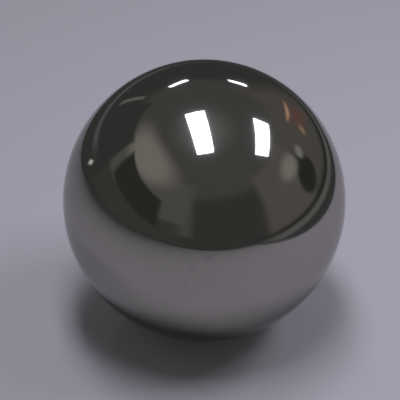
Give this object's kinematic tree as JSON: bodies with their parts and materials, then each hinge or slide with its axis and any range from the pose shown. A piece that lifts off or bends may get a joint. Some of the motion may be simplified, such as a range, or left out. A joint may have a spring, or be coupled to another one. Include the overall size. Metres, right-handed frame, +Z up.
{
  "type": "tungsten carbide ball",
  "caption": "Solid tungsten carbide ball, a plain sphere of 25.4 mm diameter with a ground and lapped dark mirror finish all over.",
  "frame": {"origin": "centre of the ball", "axes": "+Z up through the top point; the ball is the same about every axis through its centre"},
  "size_m": [0.0254, 0.0254, 0.0254],
  "materials": {
    "tungsten_carbide": "ground and lapped dark grey mirror"
  },
  "bodies": {
    "root": {"ball": "tungsten_carbide"}
  },
  "joints": []
}
